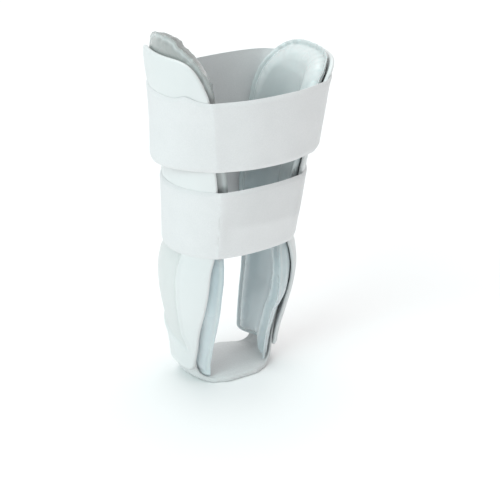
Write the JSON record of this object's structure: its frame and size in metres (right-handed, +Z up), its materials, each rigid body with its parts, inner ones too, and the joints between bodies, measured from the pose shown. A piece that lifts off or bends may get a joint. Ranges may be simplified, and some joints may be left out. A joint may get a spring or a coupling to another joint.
{
  "type": "air ankle brace",
  "caption": "Right ankle stirrup brace: stiff white side shells lined with air cells, wide cloth straps round them and a strap under the heel, standing upright.",
  "frame": {"origin": "middle of the footprint, on the surface that the heel strap stands on", "axes": "+Z up along the lower leg, -Y towards the toes, -X towards the outer side of the right ankle"},
  "size_m": [0.128, 0.0994, 0.255],
  "materials": {
    "shell": "satin moulded white plastic",
    "aircell": "soft translucent grey film with a welded margin",
    "strap": "brushed white loop cloth",
    "heel_strap": "brushed white loop cloth over a thin pad"
  },
  "bodies": {
    "root": {"lateral_shell": "shell", "medial_shell": "shell", "lateral_aircell": "aircell", "medial_aircell": "aircell", "upper_strap": "strap", "lower_strap": "strap", "heel_strap": "heel_strap"}
  },
  "joints": []
}
